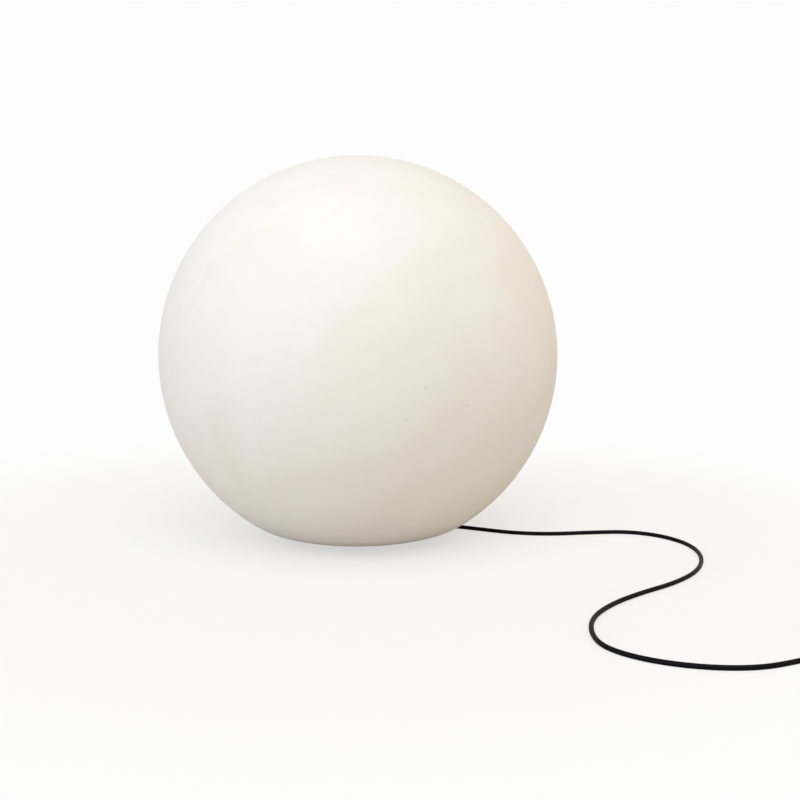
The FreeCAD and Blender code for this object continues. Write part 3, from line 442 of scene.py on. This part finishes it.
def insulatedCore():
    # two PVC-insulated cores, one on each side of the middle: brown and blue, smooth and glossy
    look = {"brown": "#5A3420", "blue": "#2C5FA8"}
    material, tree, shader = newMaterial("insulatedCore", look["brown"], roughness=0.32, IOR=1.53)
    place = addNode(tree, "ShaderNodeTexCoord").outputs["Object"]
    side = addNode(tree, "ShaderNodeSeparateXYZ", None, {"Vector": place})
    isBlue = addNode(tree, "ShaderNodeMath", {"operation": "GREATER_THAN"}, {
        0: side.outputs["Y"], 1: 0.0})
    tone = addNode(tree, "ShaderNodeMix", {"data_type": "RGBA"}, {
        0: isBlue.outputs[0], 6: toLinear(look["brown"]), 7: toLinear(look["blue"])})
    tree.links.new(tone.outputs[2], shader.inputs["Base Color"])
    return material


def boardLaminate():
    # glass-epoxy circuit board: green lacquer over a woven core, with paler copper tracks
    look = {"lacquer": "#1F4A2C", "track": "#3C7A4C", "trackMm": 4.0}
    bandsPerUnit = 6.3  # dark and light bands of this texture in one unit at a scale of 1
    material, tree, shader = newMaterial("boardLaminate", look["lacquer"], roughness=0.3, IOR=1.55)
    place = addNode(tree, "ShaderNodeTexCoord").outputs["Object"]
    tracks = addNode(tree, "ShaderNodeTexWave", {"wave_type": "BANDS", "bands_direction": "Z"}, {
        "Vector": place, "Scale": perMetre(look["trackMm"]) / bandsPerUnit, "Distortion": 6.0, "Detail": 1.0})
    sharp = addNode(tree, "ShaderNodeMapRange", None, {
        "Value": tracks.outputs["Fac"], "From Min": 0.55, "From Max": 0.62, "To Min": 0.0, "To Max": 1.0})
    tone = addNode(tree, "ShaderNodeMix", {"data_type": "RGBA"}, {
        0: sharp.outputs[0], 6: toLinear(look["lacquer"]), 7: toLinear(look["track"])})
    tree.links.new(tone.outputs[2], shader.inputs["Base Color"])
    return material


def ledPhosphor():
    # silicone filled with yellow phosphor: soft, slightly see-through, glossy
    look = {"filled": "#E9C64A", "pale": "#F0D25E", "deep": "#DDB030", "gritMm": 0.8}
    material, tree, shader = newMaterial("ledPhosphor", look["filled"], roughness=0.25, IOR=1.41, **{
        "Subsurface Weight": 0.3, "Subsurface Radius": (0.001, 0.0007, 0.0003)})
    place = addNode(tree, "ShaderNodeTexCoord").outputs["Object"]
    grit = addNode(tree, "ShaderNodeTexNoise", None, {
        "Vector": place, "Scale": perMetre(look["gritMm"])})
    tone = addNode(tree, "ShaderNodeMix", {"data_type": "RGBA"}, {
        0: grit.outputs["Fac"], 6: toLinear(look["pale"]), 7: toLinear(look["deep"])})
    tree.links.new(tone.outputs[2], shader.inputs["Base Color"])
    return material


def makeFinishes():
    finishes = {"globe_polyethylene": opalPolyethylene()}
    plastics = {
        # colours as moulded, and how strong the mould's grain is
        "base_polypropylene": {"name": "blackPolypropylene", "colour": "#202123", "second": "#2A2B2D",
                               "roughness": 0.5, "grainMm": 1.0, "grain": 0.35},
        "cover_polypropylene": {"name": "greyPolypropylene", "colour": "#C9C8C3", "second": "#BDBCB6",
                                "roughness": 0.48, "grainMm": 1.0, "grain": 0.3},
        "terminal_polyamide": {"name": "naturalPolyamide", "colour": "#E4E0D2", "second": "#D6D1C0",
                               "roughness": 0.38, "grainMm": 1.6, "grain": 0.15,
                               "sockets": {"Subsurface Weight": 0.25,
                                           "Subsurface Radius": (0.003, 0.0025, 0.002)}},
        "bridge_polyamide": {"name": "glassFilledPolyamide", "colour": "#E2DFD6", "second": "#D3CFC4",
                             "roughness": 0.55, "grainMm": 0.9, "grain": 0.4},
        "gland_polyamide": {"name": "blackPolyamide", "colour": "#17181A", "second": "#222325",
                            "roughness": 0.4, "grainMm": 1.2, "grain": 0.2},
        "tie_polyamide": {"name": "tiePolyamide", "colour": "#141415", "second": "#1D1D1F",
                          "roughness": 0.36, "grainMm": 0.8, "grain": 0.15},
        "holder_thermoset": {"name": "ureaThermoset", "colour": "#EFEDE4", "second": "#E8E5DA",
                             "roughness": 0.24, "grainMm": 2.2, "grain": 0.06},
        "holder_steatite": {"name": "steatite", "colour": "#E9E4D6", "second": "#DAD3C1",
                            "roughness": 0.62, "grainMm": 0.7, "grain": 0.4},
        "lead_silicone": {"name": "siliconeLead", "colour": "#E6E3D9", "second": "#DAD6CA",
                          "roughness": 0.5, "grainMm": 0.8, "grain": 0.1},
        "tip_glass": {"name": "blackGlassBead", "colour": "#0E0E12", "second": "#19191F",
                      "roughness": 0.14, "grainMm": 2.0, "grain": 0.05, "ior": 1.52},
        "lamp_housing_plastic": {"name": "lampBodyPlastic", "colour": "#EDEDEA", "second": "#E6E6E2",
                                 "roughness": 0.4, "grainMm": 1.3, "grain": 0.12},
        "board_aluminium": {"name": "whiteSolderMask", "colour": "#EEEEEA", "second": "#E4E4DE",
                            "roughness": 0.34, "grainMm": 1.8, "grain": 0.06},
        "lamp_polycarbonate": {"name": "opalPolycarbonate", "colour": "#F3F2EC", "second": "#EFEEE7",
                               "roughness": 0.34, "grainMm": 2.0, "grain": 0.05,
                               "sockets": {"Subsurface Weight": 0.3,
                                           "Subsurface Radius": (0.006, 0.006, 0.005)}},
    }
    for slotName, look in plastics.items():
        finishes[slotName] = mouldedPlastic(look)
    rubbers = {
        "cord_rubber": {"name": "sheathRubber", "colour": "#05050B", "bloom": "#0D0D13",
                        "roughness": 0.42, "bloomMm": 14.0, "poreMm": 0.9, "specular": 0.09},
        "plug_rubber": {"name": "plugRubber", "colour": "#121214", "bloom": "#242427",
                        "roughness": 0.46, "bloomMm": 9.0, "poreMm": 0.8, "specular": 0.25},
        "seal_rubber": {"name": "sealRubber", "colour": "#141415", "bloom": "#29292A",
                        "roughness": 0.62, "bloomMm": 7.0, "poreMm": 0.7},
        "foot_rubber": {"name": "footRubber", "colour": "#1A1A1B", "bloom": "#343332",
                        "roughness": 0.7, "bloomMm": 5.0, "poreMm": 0.8},
    }
    for slotName, look in rubbers.items():
        finishes[slotName] = rubber(look)
    metals = {
        "insert_brass": {"name": "turnedBrass", "colour": "#D8B25C", "dull": "#B08C42",
                         "roughness": 0.26},
        "stainless_screw": {"name": "stainlessSteel", "colour": "#C9C9CB", "dull": "#A9A9AC",
                            "roughness": 0.27},
        "zinc_screw": {"name": "zincScrew", "colour": "#C4C3B6", "dull": "#A3A295", "roughness": 0.34},
        "zinc_steel": {"name": "zincSteel", "colour": "#C6C4B4", "dull": "#A6A495", "roughness": 0.33},
        "sleeve_brass": {"name": "nickelledBrass", "colour": "#D2C08C", "dull": "#B29F6C",
                         "roughness": 0.25},
        "contact_bronze": {"name": "springBronze", "colour": "#C99A62", "dull": "#A67B48",
                           "roughness": 0.3},
        "tip_solder": {"name": "solder", "colour": "#B9B9BC", "dull": "#939397",
                       "roughness": 0.3, "spotMm": 2.0},
        "cap_nickel": {"name": "rolledNickel", "colour": "#C9C7C0", "dull": "#AFADA6", "roughness": 0.22},
        "pin_nickel": {"name": "nickelledPin", "colour": "#CBC9C1", "dull": "#B3B1A9", "roughness": 0.2},
    }
    for slotName, look in metals.items():
        finishes[slotName] = workedMetal(look)
    finishes["core_insulation"] = insulatedCore()
    finishes["driver_laminate"] = boardLaminate()
    finishes["led_phosphor"] = ledPhosphor()
    return finishes


finishes = makeFinishes()
print("finishes made:", len(finishes))

# every CAD node takes the finish of its slot
slotOf = {part["node"]: part["material_slot"] for part in frame["record"]["subparts"]}
for nodeName, node in nodes.items():
    node.data.materials.clear()
    node.data.materials.append(finishes[slotOf[nodeName]])


def cornerOf(roundMm):
    # how far the middle of a quarter round stays from both of the faces that it joins
    return round(roundMm * (1 - math.sqrt(0.5)), 1)


def globeOutline(g):
    rise = g["centreZ"] - g["flatZ"]
    reach = math.sqrt((g["radius"] - g["blend"]) ** 2 - (rise - g["blend"]) ** 2)
    slope = math.atan2(rise - g["blend"], reach)
    half = (slope + math.pi / 2) / 2
    above = 0.2  # radians over the widest ring, where the arc's middle point is taken

    def skin(offset):
        # join of sphere and blend, a point on each of them, and the crown
        sphere, blend = g["radius"] - offset, g["blend"] - offset
        join = (sphere * math.cos(slope), g["centreZ"] - sphere * math.sin(slope))
        onBlend = (reach + blend * math.cos(half), g["flatZ"] + g["blend"] - blend * math.sin(half))
        wide = (sphere * math.cos(above), g["centreZ"] + sphere * math.sin(above))
        return join, onBlend, wide, (0.0, g["centreZ"] + sphere)

    join, onBlend, wide, top = skin(0)
    joinIn, onBlendIn, wideIn, topIn = skin(g["wall"])
    mouth, flat, edge, lipRound = g["mouth"], g["flatZ"], g["mouthEdge"], g["lipRound"]
    flatIn, lip, halfWall = flat + g["wall"], mouth + g["wall"], g["wall"] / 2
    corner = cornerOf(lipRound)
    outer = tracePath([(mouth + edge, flat), (reach, flat), (*onBlend, *join)], arcParts=16)
    outer += tracePath([join, (*wide, *top)], arcParts=88)[1:]
    inner = tracePath([topIn, (*wideIn, *joinIn)], arcParts=60)
    inner += tracePath([joinIn, (*onBlendIn, reach, flatIn)], arcParts=12)[1:]
    lipPath = tracePath([
        (lip + lipRound, flatIn), (lip + corner, flatIn + corner, lip, flatIn + lipRound),
        (lip, g["lipTop"] - halfWall),
        (lip - halfWall, g["lipTop"], mouth, g["lipTop"] - halfWall),
        (mouth, flat + edge)], arcParts=6)
    return [(p.y, p.x) for p in outer + inner + lipPath]


def addBosses(bm, g):
    # moulded domes on the inside of the flat, one round each threaded insert
    low, top, r, edge = g["flatZ"] + g["bossFoot"], g["bossTop"], g["bossRadius"], g["bossRound"]
    corner = cornerOf(edge)
    profile = tracePath([
        (r, low), (r, top - edge), (r - corner, top - corner, r - edge, top), (0, top)], arcParts=5)
    for angle in g["bossAngles"]:
        x = g["bossCircle"] * math.cos(math.radians(angle))
        y = g["bossCircle"] * math.sin(math.radians(angle))
        rings = [ringOf(bm, p.y, p.x, g["bossSides"], x, y) for p in profile]
        for lower, upper in zip(rings, rings[1:]):
            joinRings(bm, lower, upper)


def makeGlobe(g):
    mesh = turnedMesh("globeShell", globeOutline(g), g["sides"])
    bm = bmesh.new()
    bm.from_mesh(mesh)
    bm.normal_update()
    for v in bm.verts:
        outside = v.co.xy.length > g["waveOutside"] * mm
        if outside and v.co.z > (g["flatZ"] + g["waveAbove"]) * mm:
            v.co += v.normal * noise.noise(v.co * perMetre(g["waveMm"])) * g["wave"] * mm
    addBosses(bm, g)
    bm.to_mesh(mesh)
    bm.free()
    obj = linkMesh("globeShell", mesh)
    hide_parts("globe_shell")
    finishPiece(obj, "globe", "globe_polyethylene", smoothAngle=50.0)


makeGlobe(globe)
print("globe shell made")


def threadRadius(height, root, depth, pitch, fade=1.0):
    # a right-handed rounded thread about its own axis; fade takes its crests down to the root
    def radius(angle):
        return root + depth / 2 * fade * (1 + math.cos(2 * math.pi * height / pitch - angle))
    return radius


def ease(value, start, end):
    # 0 up to the start, 1 from the end on, and smooth between them
    share = min(max((value - start) / (end - start), 0.0), 1.0)
    return share * share * (3 - 2 * share)


lampThread = {  # mm
    "pitch": 3.629,
    "depth": 0.9,
    "stepsPerTurn": 20,
    "sides": 96,
}
lampCap = {  # mm, heights from the ground unless said
    "root": 12.1,
    "sheet": 0.3,
    "low": 83.8,
    "top": 105.0,
    "threadFrom": 0.9,  # above the foot
    "growOver": (1.2, 3.5),  # above the foot
    "runOut": (94.5, 97.5),
    "neck": (98.0, 102.0),
    # rims of the sheet, as (height from the foot or the top, radius)
    "footOut": [(0.2, 10.4), (0.0, 10.6), (0.0, 11.2), (0.25, 11.75)],
    "rim": [(-0.3, 13.9), (0.0, 13.85), (0.0, 13.5), (-0.4, 13.5)],
    "footIn": [(0.5, 11.4), (0.35, 10.4)],
}
holderSleeve = {  # mm
    "root": 12.38,
    "low": 78.0,
    "top": 95.0,
    "outside": 14.2,
    "edge": 0.1,
    "leadIn": 0.3,
    "fade": 2.0,
}


def makeCap(t, c):
    # the lamp's rolled cap: thin sheet, so that its inside follows the thread
    def capRadius(height, inset):
        runOut = ease(height, *c["runOut"])
        grown = ease(height, c["low"] + c["growOver"][0], c["low"] + c["growOver"][1]) * (1 - runOut)
        root = c["root"] + t["depth"] * runOut - inset
        return threadRadius(height, root, t["depth"], t["pitch"], grown)

    step = t["pitch"] / t["stepsPerTurn"]
    neck = list(c["neck"])
    count = int((neck[0] - c["low"] - c["threadFrom"]) / step)
    heights = [c["low"] + c["threadFrom"] + k * step for k in range(count + 1)] + neck
    rows = [(c["low"] + up, radius) for up, radius in c["footOut"]]
    rows += [(z, capRadius(z, 0)) for z in heights]
    rows += [(c["top"] + up, radius) for up, radius in c["rim"]]
    rows += [(z, capRadius(z, c["sheet"])) for z in reversed(heights)]
    rows += [(c["low"] + up, radius) for up, radius in c["footIn"]]
    obj = linkMesh("lampCap", turnedMesh("lampCap", rows, t["sides"]))
    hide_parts("bulb_cap")
    finishPiece(obj, "lamp", "cap_nickel")


def makeSleeve(t, s):
    # the holder's threaded sleeve, which the lamp's cap turns in with the same helix
    step = t["pitch"] / t["stepsPerTurn"]
    low, top, edge, leadIn = s["low"], s["top"], s["edge"], s["leadIn"]
    count = int((top - low - 2 * leadIn) / step)
    heights = [low + leadIn + k * step for k in range(count + 1)]
    crest = s["root"] + t["depth"]

    def boreRadius(height):
        fade = ease(height, low, low + s["fade"]) * (1 - ease(height, top - s["fade"], top))
        return threadRadius(height, crest - t["depth"] * fade, t["depth"], t["pitch"], fade)

    rows = [(low, crest + leadIn), (low, s["outside"] - edge), (low + edge, s["outside"]),
            (top - edge, s["outside"]), (top, s["outside"] - edge), (top, crest + leadIn)]
    rows += [(z, boreRadius(z)) for z in reversed(heights)]
    obj = linkMesh("holderSleeve", turnedMesh("holderSleeve", rows, t["sides"]))
    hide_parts("holder_sleeve")
    finishPiece(obj, "base", "sleeve_brass")


shellScrew = {  # mm
    "low": 3.1,
    "head": 5.0,
    "headEdge": 0.15,
    "headRim": 0.35,
    "sink": 2.75,
    "shank": 2.45,
    "neck": 0.3,
    "small": 0.1,  # steps at the head's rim and under the neck
    "end": 18.0,
    "tip": 19.0,
    "point": 0.5,  # height and depth of the cones at the tip and in the socket
    "pitch": 0.8,
    "depth": 0.42,
    "flats": 3.0,  # across the socket
    "socketDeep": 1.6,
    "stepsPerTurn": 8,
    "sides": 48,
}


def makeShellScrews(c, g):
    # countersunk M5 x 16 screws with hexagon sockets, which hold the globe from below
    def hexagon(angle):
        return c["flats"] / 2 / math.cos((angle + math.pi / 6) % (math.pi / 3) - math.pi / 6)

    step = c["pitch"] / c["stepsPerTurn"]
    low, socket, small = c["low"], c["low"] + c["socketDeep"], c["small"]
    first = low + c["sink"] + c["neck"]
    root = c["shank"] - c["depth"]
    rows = [(socket + c["point"], 0.0), (socket, hexagon), (low + c["headEdge"], hexagon),
            (low, c["flats"] / 2 + c["headRim"]), (low, c["head"] - c["headEdge"]),
            (low + c["headEdge"], c["head"]), (low + c["headRim"], c["head"] - small),
            (low + c["sink"], c["shank"]), (first, c["shank"] - small)]
    for k in range(1, int((c["end"] - first) / step)):
        height = first + k * step
        rows.append((height, threadRadius(height, root, c["depth"], c["pitch"])))
    rows += [(c["end"], root), (c["tip"], root - c["point"]), (c["tip"], 0.0)]
    angles = [math.radians(angle) for angle in g["bossAngles"]]
    places = [(g["bossCircle"] * math.cos(angle), g["bossCircle"] * math.sin(angle)) for angle in angles]
    obj = linkMesh("shellScrews", turnedMesh("shellScrews", rows, c["sides"], places))
    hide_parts("shell_screws")
    finishPiece(obj, "base", "stainless_screw")


makeCap(lampThread, lampCap)
makeSleeve(lampThread, holderSleeve)
makeShellScrews(shellScrew, globe)
print("threads cut")

finishPiece(cordSheath, "base", "cord_rubber")
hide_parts("cord_tube", "cord_coil", "cord_tail")
print("cord dressed")

stage = {
    "floorHalf": 30.0,  # metres
    "floorColour": "#D4CDC5",
    "floorSeen": "#F1F1F1",
    "whiteNear": 0.6,  # share of plain backdrop white in the floor's look beside the object
    "nearReach": 0.4,  # metres
    "farReach": 1.1,
    "white": 0.982,
    "skyStrength": 0.78,
    "skyLeft": "#DEE0E6",
    "skyRight": "#FEEED7",
    "skyTurn": 0.7,  # how far to the side the sky has taken its full tint
}
lamps = [
    # soft in degrees; from as the camera sees it: to the right, away and up
    {"name": "topLight", "colour": "#F6F8FF", "strength": 1.23, "soft": 60.0,
     "from": (0.07, -0.56, 0.82)},
    {"name": "leftLight", "colour": "#F6F8FF", "strength": 1.18, "soft": 60.0,
     "from": (-0.86, -0.5, 0.09)},
]


def makeFloor(s):
    # the floor's own colour carries the shadow; further out it fades into the backdrop's white
    half = s["floorHalf"]
    corners = [(-half, -half, 0), (half, -half, 0), (half, half, 0), (-half, half, 0)]
    mesh = bpy.data.meshes.new("floor")
    mesh.from_pydata(corners, [], [(0, 1, 2, 3)])
    floor = linkMesh("floor", mesh)
    material, tree, shader = newMaterial(
        "paleFloor", s["floorColour"], roughness=0.9, **{"Specular IOR Level": 0.0})
    path = addNode(tree, "ShaderNodeLightPath")
    colour = addNode(tree, "ShaderNodeMix", {"data_type": "RGBA"}, {
        0: path.outputs["Is Camera Ray"], 6: toLinear(s["floorColour"]), 7: toLinear(s["floorSeen"])})
    tree.links.new(colour.outputs[2], shader.inputs["Base Color"])
    place = addNode(tree, "ShaderNodeTexCoord").outputs["Object"]
    away = addNode(tree, "ShaderNodeVectorMath", {"operation": "LENGTH"}, {0: place})
    white = addNode(tree, "ShaderNodeEmission", None, {"Color": (1, 1, 1, 1), "Strength": s["white"]})
    fade = addNode(tree, "ShaderNodeMapRange", {"interpolation_type": "SMOOTHSTEP"}, {
        "Value": away.outputs["Value"], "From Min": s["nearReach"], "From Max": s["farReach"],
        "To Min": s["whiteNear"], "To Max": 1.0})
    share = addNode(tree, "ShaderNodeMath", {"operation": "MULTIPLY"}, {
        0: path.outputs["Is Camera Ray"], 1: fade.outputs[0]})
    mixed = addNode(tree, "ShaderNodeMixShader", None, {
        0: share.outputs[0], 1: shader.outputs[0], 2: white.outputs[0]})
    tree.links.new(mixed.outputs[0], tree.nodes["Material Output"].inputs["Surface"])
    mesh.materials.append(material)


def fromCamera(direction):
    # to the right, away and up as seen from the camera, in the part's own axes
    turned = Vector(direction)
    turned.rotate(Euler((0, 0, math.radians(cameraView["heading"]))))
    return turned


def makeSky(s):
    # cool on the left and warm on the right; the camera sees plain white
    world = bpy.data.worlds.new("paleSky")
    bpy.context.scene.world = world
    world.use_nodes = True
    tree = world.node_tree
    tree.nodes.clear()
    way = addNode(tree, "ShaderNodeTexCoord").outputs["Generated"]
    side = addNode(tree, "ShaderNodeVectorMath", {"operation": "DOT_PRODUCT"}, {
        0: way, 1: fromCamera((1, 0, 0))})
    share = addNode(tree, "ShaderNodeMapRange", {"interpolation_type": "SMOOTHSTEP"}, {
        "Value": side.outputs["Value"], "From Min": -s["skyTurn"], "From Max": s["skyTurn"]})
    colour = addNode(tree, "ShaderNodeMix", {"data_type": "RGBA"}, {
        0: share.outputs[0], 6: toLinear(s["skyLeft"]), 7: toLinear(s["skyRight"])})
    lit = addNode(tree, "ShaderNodeBackground", None, {
        "Color": colour.outputs[2], "Strength": s["skyStrength"]})
    seen = addNode(tree, "ShaderNodeBackground", None, {
        "Color": (1, 1, 1, 1), "Strength": s["white"]})
    path = addNode(tree, "ShaderNodeLightPath")
    mixed = addNode(tree, "ShaderNodeMixShader", None, {
        0: path.outputs["Is Camera Ray"], 1: lit.outputs[0], 2: seen.outputs[0]})
    addNode(tree, "ShaderNodeOutputWorld", None, {"Surface": mixed.outputs[0]})


def makeLamp(look):
    data = bpy.data.lights.new(look["name"], "SUN")
    data.color = toLinear(look["colour"])[:3]
    data.energy = look["strength"]
    data.angle = math.radians(look["soft"])
    lamp = bpy.data.objects.new(look["name"], data)
    lamp.rotation_euler = fromCamera(look["from"]).to_track_quat("Z", "Y").to_euler()
    bpy.context.scene.collection.objects.link(lamp)


makeFloor(stage)
makeSky(stage)
for look in lamps:
    makeLamp(look)
bpy.context.scene.view_settings.view_transform = "Standard"
print("stage and light set")
